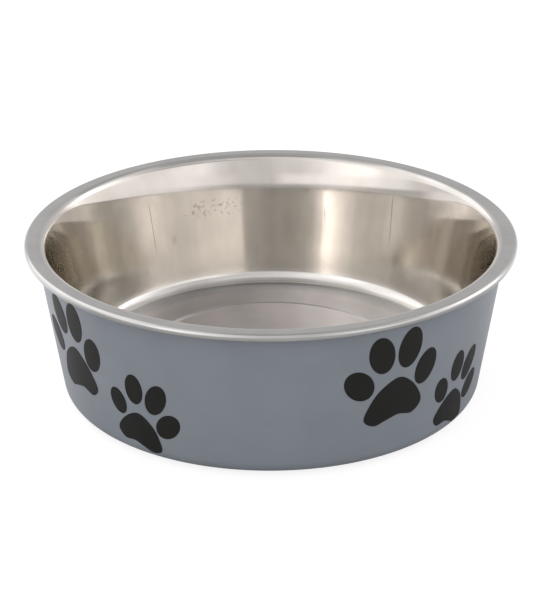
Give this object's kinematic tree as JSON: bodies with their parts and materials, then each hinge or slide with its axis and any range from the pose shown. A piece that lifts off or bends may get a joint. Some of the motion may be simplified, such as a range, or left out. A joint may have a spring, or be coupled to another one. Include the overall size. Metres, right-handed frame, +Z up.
{
  "type": "stainless dog bowl",
  "caption": "Round stainless steel dog bowl with a flat rolled rim in a tapered grey lacquered shell, printed with black paws, on a rubber base ring.",
  "frame": {"origin": "centre of the rubber ring's underside, on the surface that the bowl stands on", "axes": "+Z up along the bowl's axis; the front, between a large and a small print, faces -Y; +X to the right seen from the front"},
  "size_m": [0.2099, 0.21, 0.07],
  "materials": {
    "stainless_steel": "drawn and polished stainless steel",
    "grey_lacquer": "satin grey lacquer over a moulded shell",
    "black_ink": "satin black printed film",
    "rubber": "moulded rubber",
    "adhesive": "cured adhesive"
  },
  "bodies": {
    "bowl": {"inner_bowl": "stainless_steel", "outer_shell": "grey_lacquer", "rim_bond": "adhesive", "floor_bond": "adhesive", "paw_print_large_1": "black_ink", "paw_print_large_2": "black_ink", "paw_print_large_3": "black_ink", "paw_print_large_4": "black_ink", "paw_print_small_1": "black_ink", "paw_print_small_2": "black_ink", "paw_print_small_3": "black_ink", "paw_print_small_4": "black_ink"},
    "ring": {"base_ring": "rubber"}
  },
  "joints": [
    {"name": "ring_pull", "type": "slide", "parent": "bowl", "child": "ring", "axis": [0, 0, -1], "range_m": [0, 0.012]}
  ]
}
